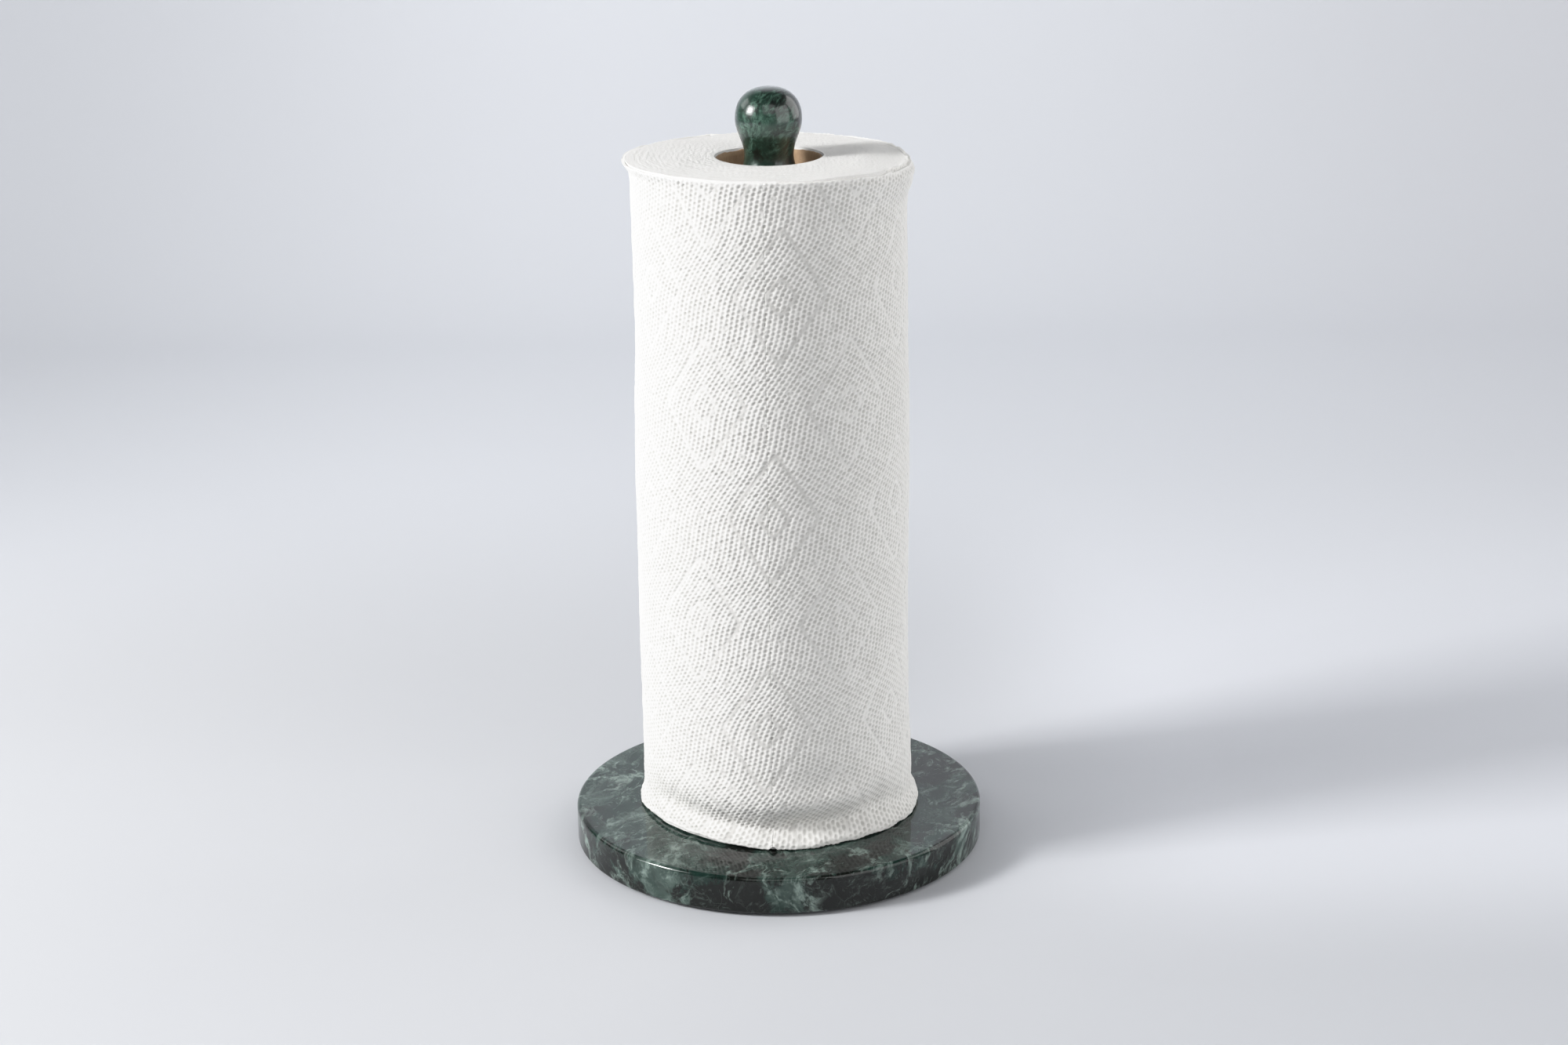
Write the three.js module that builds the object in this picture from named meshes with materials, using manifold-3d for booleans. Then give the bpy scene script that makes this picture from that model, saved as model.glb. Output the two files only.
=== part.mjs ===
// Paper towel holder: a round polished marble base, a turned marble post with a ball knob,
// and the roll of paper towels that stands on it.
//
// Millimetres, +Z up. The origin is on the post's axis, in the plane of the pads' undersides.

import * as THREE from 'three';
import { mergeVertices } from 'three/addons/utils/BufferGeometryUtils.js';
import Module from 'manifold-3d';

const wasm = await Module();
wasm.setup();

// ---------------------------------------------------------------- driving dimensions

const CLEARANCE = 0.3;            // gap between pieces that touch or turn

const PAD_RADIUS = 9;             // non-slip pads
const PAD_HEIGHT = 1.5;
const PAD_CIRCLE_RADIUS = 70;
const PAD_COUNT = 4;

const BASE_RADIUS = 87.5;         // marble disc, 175 mm (7 in) across
const BASE_THICKNESS = 16;
const BASE_TOP_ROUND = 1.8;
const BASE_BOTTOM_ROUND = 1.2;
const RECESS_RADIUS = 17;         // counterbore under the disc for the nut and washers
const RECESS_DEPTH = 9.5;

const STUD_RADIUS = 4;            // M8 threaded stud
const STUD_PITCH = 1.25;
const STUD_THREAD_DEPTH = 0.65;
const STUD_IN_POST = 32;
const STUD_HOLE_RADIUS = 4.6;

const POST_RADIUS = 12.5;         // plain shaft, hidden inside the roll
const POST_FOOT_RADIUS = 15.5;
const NECK_RADIUS = 10;           // waist just under the knob
const KNOB_RADIUS = 13.6;
const KNOB_CROWN = 13;            // from the ball's widest level to its slightly flattened top
const KNOB_FULLNESS = 2.3;        // power of the crown's curve: 2 would be an ellipse
const KNOB_CENTRE_ABOVE_BASE = 294.2;
const NECK_BELOW_KNOB_CENTRE = 14.5;
const SHAFT_BELOW_NECK = 12;

const ROLL_HEIGHT = 279.4;        // 11 in sheets
const ROLL_RADIUS = 57;           // outside of the outermost turn, at mid height
const ROLL_FLARE = 2.6;           // the windings spread towards the bottom
const ROLL_FLARE_HEIGHT = 16;
const CORE_RADIUS = 20.9;         // bore of the cardboard tube
const CORE_WALL = 1.0;

const SHEET_THICKNESS = 0.5;      // embossed two-ply sheet
const SHEET_LENGTH = 150;         // between perforations
const SHEET_COUNT = 3;            // the outermost turn and the start of the next one
const FREE_EDGE_ANGLE = 59;       // degrees from +X: the free edge is at the back, on the right

const ANGULAR_STEPS = 64;

// ---------------------------------------------------------------- derived dimensions

const BASE_BOTTOM = PAD_HEIGHT;
const BASE_TOP = BASE_BOTTOM + BASE_THICKNESS;
const POST_BOTTOM = BASE_TOP + CLEARANCE;
const KNOB_CENTRE = BASE_TOP + KNOB_CENTRE_ABOVE_BASE;
const RECESS_ROOF = BASE_BOTTOM + RECESS_DEPTH;
const ROLL_BOTTOM = BASE_TOP + CLEARANCE;
const ROLL_TOP = ROLL_BOTTOM + ROLL_HEIGHT;
const TURN_PITCH = SHEET_THICKNESS + CLEARANCE;
const OUTER_TURNS = SHEET_COUNT * SHEET_LENGTH / (2 * Math.PI * ROLL_RADIUS);
const WINDINGS_RADIUS = ROLL_RADIUS - OUTER_TURNS * TURN_PITCH - SHEET_THICKNESS - CLEARANCE;

// ---------------------------------------------------------------- materials

const marble = () => new THREE.MeshStandardMaterial({ color: 0x2c3f39, roughness: 0.12, metalness: 0 });
const paper = () => new THREE.MeshStandardMaterial({ color: 0xe8e6e0, roughness: 0.95, metalness: 0 });
const cardboard = () => new THREE.MeshStandardMaterial({ color: 0xa98c6c, roughness: 0.9, metalness: 0 });
const steel = () => new THREE.MeshStandardMaterial({ color: 0xb4b6b8, roughness: 0.35, metalness: 1 });
const fibre = () => new THREE.MeshStandardMaterial({ color: 0x7a2f22, roughness: 0.8, metalness: 0 });
const rubber = () => new THREE.MeshStandardMaterial({ color: 0x191a1b, roughness: 0.85, metalness: 0 });

// ---------------------------------------------------------------- helpers

const radians = THREE.MathUtils.degToRad;
const point = (x, y) => new THREE.Vector2(x, y);

// Points of an arc in a lathe profile: centre (r, z), radius, and angles in degrees from +r.
function arc(r, z, radius, fromDeg, toDeg, steps) {
  const points = [];
  for (let i = 0; i <= steps; i++) {
    const angle = radians(fromDeg + (toDeg - fromDeg) * i / steps);
    points.push(point(r + radius * Math.cos(angle), z + radius * Math.sin(angle)));
  }
  return points;
}

// Turns a profile of (r, z) points, bottom to top on its outer side, about the Z axis.
function turned(profile, steps = ANGULAR_STEPS) {
  const geometry = new THREE.LatheGeometry(profile, steps);
  geometry.rotateX(Math.PI / 2);
  return geometry;
}

// A ring of rectangular section.
function ringProfile(inner, outer, bottom, top) {
  return [point(inner, bottom), point(outer, bottom), point(outer, top), point(inner, top), point(inner, bottom)];
}

function toManifold(geometry) {
  const bare = geometry.clone();
  bare.deleteAttribute('normal');
  bare.deleteAttribute('uv');
  const merged = mergeVertices(bare, 1e-5);
  return new wasm.Manifold(new wasm.Mesh({
    numProp: 3,
    vertProperties: new Float32Array(merged.attributes.position.array),
    triVerts: new Uint32Array(merged.index.array),
  }));
}

function fromManifold(solid) {
  const mesh = solid.getMesh();
  const geometry = new THREE.BufferGeometry();
  geometry.setAttribute('position', new THREE.BufferAttribute(new Float32Array(mesh.vertProperties), 3));
  geometry.setIndex(new THREE.BufferAttribute(new Uint32Array(mesh.triVerts), 1));
  geometry.computeVertexNormals();
  return geometry;
}

function named(name, geometry, material) {
  const mesh = new THREE.Mesh(geometry, material);
  mesh.name = name;
  return mesh;
}

// ---------------------------------------------------------------- the holder

// The disc, with a hole for the stud and a recess under it for the nut.
function base() {
  const profile = [
    point(RECESS_RADIUS, BASE_BOTTOM),
    ...arc(BASE_RADIUS - BASE_BOTTOM_ROUND, BASE_BOTTOM + BASE_BOTTOM_ROUND, BASE_BOTTOM_ROUND, -90, 0, 4),
    ...arc(BASE_RADIUS - BASE_TOP_ROUND, BASE_TOP - BASE_TOP_ROUND, BASE_TOP_ROUND, 0, 90, 5),
    point(STUD_HOLE_RADIUS, BASE_TOP),
    point(STUD_HOLE_RADIUS, RECESS_ROOF),
    point(RECESS_RADIUS, RECESS_ROOF),
    point(RECESS_RADIUS, BASE_BOTTOM),
  ];
  return named('base', turned(profile, 96), marble());
}

// Profile points on a smooth S between two radii, upright at both ends. The first point is left out.
function swell(fromRadius, fromZ, toRadius, toZ, steps) {
  const points = [];
  for (let i = 1; i <= steps; i++) {
    const t = i / steps;
    const blend = (1 - Math.cos(Math.PI * t)) / 2;
    points.push(point(fromRadius + (toRadius - fromRadius) * blend, fromZ + (toZ - fromZ) * t));
  }
  return points;
}

// Profile points over the knob's crown, from its widest level to the axis. The first point is left out.
function crown(steps) {
  const points = [];
  for (let i = 1; i < steps; i++) {
    const level = Math.sin(Math.PI / 2 * i / steps);
    const radius = KNOB_RADIUS * (1 - level ** KNOB_FULLNESS) ** (1 / KNOB_FULLNESS);
    points.push(point(radius, KNOB_CENTRE + KNOB_CROWN * level));
  }
  points.push(point(0, KNOB_CENTRE + KNOB_CROWN));
  return points;
}

// One turned piece of marble: foot, shaft, waist and ball knob, drilled from below for the stud.
function post() {
  const neck = KNOB_CENTRE - NECK_BELOW_KNOB_CENTRE;
  const shaftTop = neck - SHAFT_BELOW_NECK;
  const footRound = 10;
  const profile = [
    point(STUD_HOLE_RADIUS, POST_BOTTOM),
    point(POST_FOOT_RADIUS - 1, POST_BOTTOM),
    point(POST_FOOT_RADIUS, POST_BOTTOM + 1),
    point(POST_FOOT_RADIUS, POST_BOTTOM + 5),
    ...arc(POST_RADIUS + footRound, POST_BOTTOM + 6 + footRound, footRound, 225, 180, 4),
    point(POST_RADIUS, shaftTop),
    ...swell(POST_RADIUS, shaftTop, NECK_RADIUS, neck, 8),
    ...swell(NECK_RADIUS, neck, KNOB_RADIUS, KNOB_CENTRE, 8),
    ...crown(12),
    point(0, POST_BOTTOM + STUD_IN_POST + 2),
    point(STUD_HOLE_RADIUS, POST_BOTTOM + STUD_IN_POST),
    point(STUD_HOLE_RADIUS, POST_BOTTOM),
  ];
  return named('post', turned(profile, 48), marble());
}

// The stud: plain where it is bonded into the post, threaded at its lower end.
function stud() {
  const bottom = BASE_BOTTOM + 0.8;
  const threadTop = RECESS_ROOF;
  const top = POST_BOTTOM + STUD_IN_POST - CLEARANCE;
  const root = STUD_RADIUS - STUD_THREAD_DEPTH;
  const profile = [point(0, bottom), point(root, bottom)];
  const ridges = Math.floor((threadTop - bottom) / STUD_PITCH);
  for (let i = 0; i < ridges; i++) {
    profile.push(point(STUD_RADIUS, bottom + (i + 0.5) * STUD_PITCH));
    profile.push(point(root, bottom + (i + 1) * STUD_PITCH));
  }
  profile.push(point(STUD_RADIUS, bottom + (ridges + 0.5) * STUD_PITCH));
  profile.push(point(STUD_RADIUS, top - 0.8));
  profile.push(point(STUD_RADIUS - 0.8, top));
  profile.push(point(0, top));
  return named('threaded_stud', turned(profile, 24), steel());
}

// Washers and nut in the recess, stacked downwards from its roof.
function fasteners() {
  const bore = STUD_RADIUS + CLEARANCE;
  const fibreTop = RECESS_ROOF - 0.05;
  const fibreBottom = fibreTop - 1.0;
  const flatBottom = fibreBottom - 0.05 - 1.6;
  const lockTop = flatBottom - 0.05;
  const lockBottom = lockTop - 1.8;
  const nutTop = lockBottom - 0.05;
  const nutHeight = 4;
  return [
    named('fibre_washer', turned(ringProfile(bore, 13, fibreBottom, fibreTop), 40), fibre()),
    named('flat_washer', turned(ringProfile(bore, 12, flatBottom, fibreBottom - 0.05), 40), steel()),
    named('lock_washer', lockWasher(bore, 7.4, lockBottom, lockTop), steel()),
    named('hex_nut', hexNut(13, bore, nutTop - nutHeight, nutTop), steel()),
  ];
}

// A split ring, cut through on one side.
function lockWasher(inner, outer, bottom, top) {
  const ring = toManifold(turned(ringProfile(inner, outer, bottom, top), 32));
  const slit = new THREE.BoxGeometry(1.0, outer, 3 * (top - bottom));
  slit.rotateZ(radians(12));
  slit.translate(0, outer * 0.9, (bottom + top) / 2);
  return fromManifold(ring.subtract(toManifold(slit)));
}

// A hexagon bar across-flats, chamfered by a turned blank and drilled through.
function hexNut(acrossFlats, bore, bottom, top) {
  const corner = acrossFlats / Math.sqrt(3);
  const hexagon = new THREE.CylinderGeometry(corner, corner, top - bottom, 6);
  hexagon.rotateX(Math.PI / 2);
  hexagon.translate(0, 0, (bottom + top) / 2);
  const chamfer = 0.5;
  const blank = turned([
    point(bore, bottom),
    point(acrossFlats / 2, bottom),
    point(corner + 0.05, bottom + chamfer),
    point(corner + 0.05, top - chamfer),
    point(acrossFlats / 2, top),
    point(bore, top),
    point(bore, bottom),
  ], 36);
  return fromManifold(toManifold(hexagon).intersect(toManifold(blank)));
}

function pad(index) {
  const angle = radians(45 + index * 360 / PAD_COUNT);
  const profile = [
    point(0, 0),
    point(PAD_RADIUS - 0.4, 0),
    point(PAD_RADIUS, 0.4),
    point(PAD_RADIUS, PAD_HEIGHT),
    point(0, PAD_HEIGHT),
  ];
  const mesh = named(`pad_${index + 1}`, turned(profile, 24), rubber());
  mesh.position.set(PAD_CIRCLE_RADIUS * Math.cos(angle), PAD_CIRCLE_RADIUS * Math.sin(angle), 0);
  return mesh;
}

// ---------------------------------------------------------------- the roll

// Outward spread of the windings at height z: nothing over most of the height, most at the bottom.
function flare(z) {
  const t = Math.max(0, 1 - (z - ROLL_BOTTOM) / ROLL_FLARE_HEIGHT);
  return ROLL_FLARE * t * t * (3 - 2 * t);
}

const ROLL_LEVELS = [0, 2, 4, 6, 8, 10, 12, 14, 16, 160, ROLL_HEIGHT].map((h) => ROLL_BOTTOM + h);

function core() {
  const profile = ringProfile(CORE_RADIUS, CORE_RADIUS + CORE_WALL, ROLL_BOTTOM, ROLL_TOP);
  return named('core', turned(profile), cardboard());
}

// All the turns under the outer sheets, wound tight on the core.
function windings() {
  const inner = CORE_RADIUS + CORE_WALL + 0.05;
  const profile = [
    point(inner, ROLL_BOTTOM),
    ...ROLL_LEVELS.map((z) => point(WINDINGS_RADIUS + flare(z), z)),
    point(inner, ROLL_TOP),
    point(inner, ROLL_BOTTOM),
  ];
  return named('windings', turned(profile, 72), paper());
}

// One outer sheet, between two distances from the roll's free edge along the web.
// The web runs clockwise from the free edge, seen from above, on a spiral that sinks by one turn's pitch.
function sheet(name, nearMm, farMm) {
  const steps = Math.ceil((farMm - nearMm) / 6);
  const rows = ROLL_LEVELS.length;
  const positions = [];
  for (let i = 0; i <= steps; i++) {
    const travelled = (farMm + (nearMm - farMm) * i / steps) / (ROLL_RADIUS - SHEET_THICKNESS / 2);
    const angle = radians(FREE_EDGE_ANGLE) - travelled;
    const outside = ROLL_RADIUS - TURN_PITCH * travelled / (2 * Math.PI);
    for (const z of ROLL_LEVELS) {
      for (const r of [outside + flare(z), outside + flare(z) - SHEET_THICKNESS]) {
        positions.push(r * Math.cos(angle), r * Math.sin(angle), z);
      }
    }
  }
  const indices = [];
  const at = (i, j, side) => (i * rows + j) * 2 + side;
  const quad = (a, b, c, d) => indices.push(a, b, c, a, c, d);
  for (let i = 0; i < steps; i++) {
    for (let j = 0; j < rows - 1; j++) {
      quad(at(i, j, 0), at(i + 1, j, 0), at(i + 1, j + 1, 0), at(i, j + 1, 0));
      quad(at(i, j, 1), at(i, j + 1, 1), at(i + 1, j + 1, 1), at(i + 1, j, 1));
    }
    quad(at(i, 0, 0), at(i, 0, 1), at(i + 1, 0, 1), at(i + 1, 0, 0));
    quad(at(i, rows - 1, 0), at(i + 1, rows - 1, 0), at(i + 1, rows - 1, 1), at(i, rows - 1, 1));
  }
  for (let j = 0; j < rows - 1; j++) {
    quad(at(0, j, 0), at(0, j + 1, 0), at(0, j + 1, 1), at(0, j, 1));
    quad(at(steps, j, 0), at(steps, j, 1), at(steps, j + 1, 1), at(steps, j + 1, 0));
  }
  const geometry = new THREE.BufferGeometry();
  geometry.setAttribute('position', new THREE.Float32BufferAttribute(positions, 3));
  geometry.setIndex(indices);
  geometry.computeVertexNormals();
  return named(name, geometry, paper());
}

// The outer sheets, parted at their perforations.
function outerSheets() {
  const meshes = [];
  for (let i = 0; i < SHEET_COUNT; i++) {
    meshes.push(sheet(`sheet_${i + 1}`, i * SHEET_LENGTH, (i + 1) * SHEET_LENGTH - CLEARANCE));
  }
  return meshes;
}

// ---------------------------------------------------------------- assembly

const holder = new THREE.Group();
holder.add(base(), post(), stud(), ...fasteners());
for (let i = 0; i < PAD_COUNT; i++) {
  holder.add(pad(i));
}

const roll = new THREE.Group();
roll.add(core(), windings(), ...outerSheets());

const group = new THREE.Group();
group.add(holder, roll);

export default group;
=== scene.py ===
"""A paper towel holder: polished green marble base and post, and the roll of embossed paper on it.

Lengths are in millimetres until a mesh is made, which is in metres. A place on the roll is given by
theta, the angle from the front towards the right, or by u, the same as a distance along the paper web,
and by h, the height above the roll's lower edge.
"""
import math

import bpy
import numpy as np
from mathutils import Matrix, Vector


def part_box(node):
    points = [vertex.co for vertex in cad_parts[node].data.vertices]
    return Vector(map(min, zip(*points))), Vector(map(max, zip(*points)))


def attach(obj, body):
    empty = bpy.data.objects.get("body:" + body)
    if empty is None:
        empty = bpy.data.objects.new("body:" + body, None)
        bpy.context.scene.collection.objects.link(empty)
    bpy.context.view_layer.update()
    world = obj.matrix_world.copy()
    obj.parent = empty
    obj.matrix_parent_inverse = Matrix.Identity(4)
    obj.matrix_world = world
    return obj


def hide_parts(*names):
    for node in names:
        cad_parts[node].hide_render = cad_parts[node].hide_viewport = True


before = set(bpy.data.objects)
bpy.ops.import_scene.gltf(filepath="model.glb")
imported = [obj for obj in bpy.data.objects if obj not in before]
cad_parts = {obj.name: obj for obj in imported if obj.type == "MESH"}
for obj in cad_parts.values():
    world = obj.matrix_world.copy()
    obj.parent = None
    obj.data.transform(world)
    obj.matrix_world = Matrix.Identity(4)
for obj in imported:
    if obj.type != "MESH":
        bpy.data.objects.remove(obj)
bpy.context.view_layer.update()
MM = 0.001


def box_mm(node):
    """The lowest and highest corner of a CAD node, in millimetres."""
    low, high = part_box(node)
    return Vector(low) / MM, Vector(high) / MM


# ---------------------------------------------------------------- sizes, from the frame

BASE_LOW, BASE_HIGH = box_mm("base")
POST_LOW, POST_HIGH = box_mm("post")
CORE_HIGH = box_mm("core")[1]
ROLL_LOW, ROLL_HIGH = box_mm("windings")
PAD_NAMES = [f"pad_{i + 1}" for i in range(4)]

BASE_RADIUS = BASE_HIGH.x
BASE_ROUND_TOP = 2.0
BASE_ROUND_BOTTOM = 1.3
RECESS_RADIUS = 17.0
RECESS_DEPTH = 9.5
RECESS_CHAMFER = 0.4
STUD_HOLE_RADIUS = 4.6
STUD_HOLE_DEPTH = 34.0                  # in the post
STUD_HOLE_POINT = 2.0                   # height of the cone that the drill leaves at its end
HOLE_CHAMFER = 0.3

KNOB_RADIUS = 13.6
KNOB_CROWN = 13.0                       # widest level to top
KNOB_FULLNESS = 2.3                     # power of the crown's curve: 2 would be an ellipse
NECK_RADIUS = 10.0
NECK_DROP = 14.5                        # widest level down to the neck
SHAFT_RADIUS = 12.5
SHAFT_DROP = 12.0                       # neck down to the plain shaft
FOOT_RADIUS = POST_HIGH.x
FOOT_ROUND = 1.0
FOOT_HEIGHT = 5.0                       # up to where the foot's hollow begins
FOOT_HOLLOW = 10.0                      # radius of the hollow between foot and shaft
FOOT_HOLLOW_LEVEL = 16.0                # of the hollow's centre

ROLL_BOTTOM = ROLL_LOW.z
ROLL_HEIGHT = ROLL_HIGH.z - ROLL_LOW.z
CORE_OUTSIDE = CORE_HIGH.x
CORE_WALL = 1.0
CORE_INSIDE = CORE_OUTSIDE - CORE_WALL
CORE_SHORTER = 1.0                      # than the windings, at the top
CLEARANCE = 0.05                        # of the core inside its CAD size, and of the windings in the sheets
STRIP_LEAD = 105.0                      # height of one turn of the core's spiral seam
END_INSET = 0.3                         # of the windings' and core's ends inside the CAD's

WEB_RADIUS = 56.75                      # middle of the outermost turn
TURN_LENGTH = 2 * math.pi * WEB_RADIUS
FREE_EDGE_U = math.radians(149) * WEB_RADIUS    # place of the free edge along the web, from the front
SHEET_LENGTH = 150.0                    # between perforations
SHEET_COUNT = 3
SHEET_THICKNESS = 1.0                   # over the embossing
TURN_GAP = 1.1                          # how far the web sinks where it slips under the free edge


# ---------------------------------------------------------------- mesh helpers


def mesh_object(name, points, faces, material, flat=0):
    """A mesh object from points in millimetres and arrays of triangles and quads.

    It is shaded smooth, except for as many of the last faces as flat says.
    """
    mesh = bpy.data.meshes.new(name)
    points = np.asarray(points, np.float32) * MM
    mesh.vertices.add(len(points))
    mesh.vertices.foreach_set("co", points.ravel())
    sides = np.concatenate([np.full(len(f), f.shape[1]) for f in faces])
    corners = np.concatenate([np.asarray(f, np.int32).ravel() for f in faces])
    mesh.loops.add(len(corners))
    mesh.loops.foreach_set("vertex_index", corners)
    mesh.polygons.add(len(sides))
    starts = np.concatenate([[0], np.cumsum(sides)[:-1]])
    mesh.polygons.foreach_set("loop_start", starts.astype(np.int32))
    mesh.update(calc_edges=True)
    mesh.validate()
    smooth = np.ones(len(mesh.polygons), bool)
    smooth[len(smooth) - flat:] = False
    mesh.polygons.foreach_set("use_smooth", smooth)
    mesh.materials.append(material)
    obj = bpy.data.objects.new(name, mesh)
    bpy.context.scene.collection.objects.link(obj)
    return obj


def grid_quads(rows, columns, start=0, closed=False):
    """Quads of a grid of points stored row by row, facing along (column direction) x (row direction).

    In a closed grid the last row and the last column are joined to the first, as on a ring's skin.
    """
    index = np.arange(rows * columns).reshape(rows, columns) + start
    if closed:
        index = np.pad(index, ((0, 1), (0, 1)), mode="wrap")
    a, b, c, d = index[:-1, :-1], index[:-1, 1:], index[1:, 1:], index[1:, :-1]
    return np.stack([a, b, c, d], -1).reshape(-1, 4)


def arc(r, z, radius, start, end, steps):
    """Profile points on an arc round (r, z); angles in degrees from the outward direction."""
    angles = np.radians(np.linspace(start, end, steps + 1))
    return [(r + radius * math.cos(a), z + radius * math.sin(a)) for a in angles]


def turned(name, profile, material, segments=256):
    """A closed (r, z) profile turned about the axis. Points on the axis are shared."""
    profile = np.array(profile)
    angles = np.linspace(0, 2 * math.pi, segments, endpoint=False)
    ring = np.stack([np.cos(angles), np.sin(angles)], -1)
    on_axis = profile[:, 0] < 1e-6
    points, first = [], []
    for (r, z), single in zip(profile, on_axis):
        first.append(sum(len(p) for p in points))
        flat = np.zeros((1, 2)) if single else ring * r
        points.append(np.column_stack([flat, np.full(len(flat), z)]))
    quads, triangles = [], []
    here, there = np.arange(segments), (np.arange(segments) + 1) % segments
    count = len(profile)
    for i in range(count):
        j = (i + 1) % count
        if on_axis[i] and on_axis[j]:
            continue
        a, b = first[i], first[j]
        if on_axis[i]:
            triangles.append(np.stack([np.full(segments, a), b + there, b + here], -1))
        elif on_axis[j]:
            triangles.append(np.stack([a + here, a + there, np.full(segments, b)], -1))
        else:
            quads.append(np.stack([a + here, a + there, b + there, b + here], -1))
    faces = [np.concatenate(f) for f in (quads, triangles) if f]
    obj = mesh_object(name, np.concatenate(points), faces, material)
    weighted = obj.modifiers.new("flat_faces_stay_flat", "WEIGHTED_NORMAL")
    weighted.weight = 100
    return obj


def eased(x, knots):
    """A curve through (x, value) knots, level at each one."""
    xs, values = np.array(knots).T
    i = np.clip(np.searchsorted(xs, x) - 1, 0, len(xs) - 2)
    t = np.clip((x - xs[i]) / (xs[i + 1] - xs[i]), 0, 1)
    return values[i] + (values[i + 1] - values[i]) * t * t * (3 - 2 * t)


def step_between(x, low, high):
    """0 below low, 1 above high, smooth between."""
    t = np.clip((x - low) / (high - low), 0, 1)
    return t * t * (3 - 2 * t)


def ripples(x, y, shortest, longest, count, seed):
    """Smooth random waves of about unit height, with wavelengths between the two given."""
    rng = np.random.default_rng(seed)
    total = np.zeros(np.broadcast(x, y).shape)
    for _ in range(count):
        wave = 2 * math.pi / rng.uniform(shortest, longest)
        heading = rng.uniform(0, math.pi)
        phase = rng.uniform(0, 2 * math.pi)
        total += np.sin(wave * (x * math.cos(heading) + y * math.sin(heading)) + phase)
    return total / math.sqrt(count / 2)


# ---------------------------------------------------------------- material helpers


MIX_A, MIX_B, MIX_RESULT = 6, 7, 2      # numbers of a Mix node's colour sockets


class Shader:
    """Short-hand for a material's nodes: each method adds a node and returns its output."""

    def __init__(self, name):
        self.material = bpy.data.materials.new(name)
        self.material.use_nodes = True
        self.nodes = self.material.node_tree.nodes
        self.links = self.material.node_tree.links
        self.surface = self.nodes["Principled BSDF"]

    def add(self, kind, output=0, settings=(), **inputs):
        """Any node: settings are its properties, and inputs its sockets, with _ for a space."""
        node = self.nodes.new(kind)
        for key, value in dict(settings).items():
            setattr(node, key, value)
        for key, value in inputs.items():
            self.put(node, key.replace("_", " "), value)
        return node.outputs[output]

    def put(self, node, key, value):
        """Links a socket to an input, or sets it to a value. key is the input's name or number."""
        socket = node.inputs[int(key)] if key.isdigit() else node.inputs[key]
        if isinstance(value, bpy.types.NodeSocket):
            self.links.new(value, socket)
        else:
            socket.default_value = value

    def math(self, operation, a, b=0.0, c=0.0):
        node = self.nodes.new("ShaderNodeMath")
        node.operation = operation
        for i, value in enumerate((a, b, c)):
            self.put(node, str(i), value)
        return node.outputs[0]

    def vector(self, operation, a, b=(0, 0, 0), output=0):
        node = self.nodes.new("ShaderNodeVectorMath")
        node.operation = operation
        self.put(node, "0", a)
        if operation == "SCALE":
            self.put(node, "Scale", b)
        else:
            self.put(node, "1", b)
        return node.outputs[output]

    def mix(self, factor, a, b):
        """Colour a where factor is 0, b where it is 1."""
        node = self.nodes.new("ShaderNodeMix")
        node.data_type = "RGBA"
        self.put(node, "Factor", factor)
        for socket, value in ((MIX_A, a), (MIX_B, b)):
            self.put(node, str(socket), (*value, 1) if isinstance(value, tuple) else value)
        return node.outputs[MIX_RESULT]

    def ramp(self, value, stops):
        """The colour at value on a ramp through (value, colour) stops."""
        node = self.nodes.new("ShaderNodeValToRGB")
        elements = node.color_ramp.elements
        while len(elements) < len(stops):
            elements.new(0.5)
        for element, (place, colour) in zip(elements, stops):
            element.position = place
            element.color = (*colour, 1)
        self.links.new(value, node.inputs[0])
        return node.outputs[0]

    def between(self, value, low, high):
        """value moved from the range low..high to 0..1, smoothly and clamped."""
        node = self.nodes.new("ShaderNodeMapRange")
        node.interpolation_type = "SMOOTHSTEP"
        for key, v in (("Value", value), ("From Min", low), ("From Max", high)):
            self.put(node, key, v)
        return node.outputs[0]

    def millimetres(self):
        """The place on the object, in millimetres."""
        coordinates = self.nodes.new("ShaderNodeTexCoord").outputs["Object"]
        return self.vector("SCALE", coordinates, 1 / MM)

    def noise(self, place, size, detail=4.0, roughness=0.55, colour=False):
        """Noise whose features are about size millimetres."""
        return self.add(
            "ShaderNodeTexNoise", 1 if colour else 0, Vector=place, Scale=1 / size,
            Detail=detail, Roughness=roughness,
        )

    def warped(self, place, size, amount, detail):
        """Places pushed about by noise, by up to half the amount each way."""
        push = self.noise(place, size, detail, colour=True)
        push = self.vector("SUBTRACT", push, (0.5, 0.5, 0.5))
        return self.vector("ADD", place, self.vector("SCALE", push, amount))

    def stretched(self, place, along, factor):
        """Places squeezed in one direction, which draws a texture out along it."""
        along = Vector(along).normalized()
        reach = self.vector("DOT_PRODUCT", place, tuple(along), output=1)
        shift = self.math("MULTIPLY", reach, 1 / factor - 1)
        return self.vector("ADD", place, self.vector("SCALE", tuple(along), shift))

    def bump(self, height, distance, strength):
        """distance is the height, in millimetres, of a height of 1."""
        node = self.nodes.new("ShaderNodeBump")
        self.put(node, "Height", height)
        node.inputs["Distance"].default_value = distance * MM
        node.inputs["Strength"].default_value = strength
        return node.outputs[0]

    def finish(self, **inputs):
        """Connects or sets the surface shader's inputs, and returns the material."""
        for key, value in inputs.items():
            if isinstance(value, tuple) and len(value) == 3:
                value = (*value, 1)
            self.put(self.surface, key.replace("_", " "), value)
        return self.material


# ---------------------------------------------------------------- materials


STREAK = (0.45, 0.70, 0.55)             # the marble's streaks run this way through the slab


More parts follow.
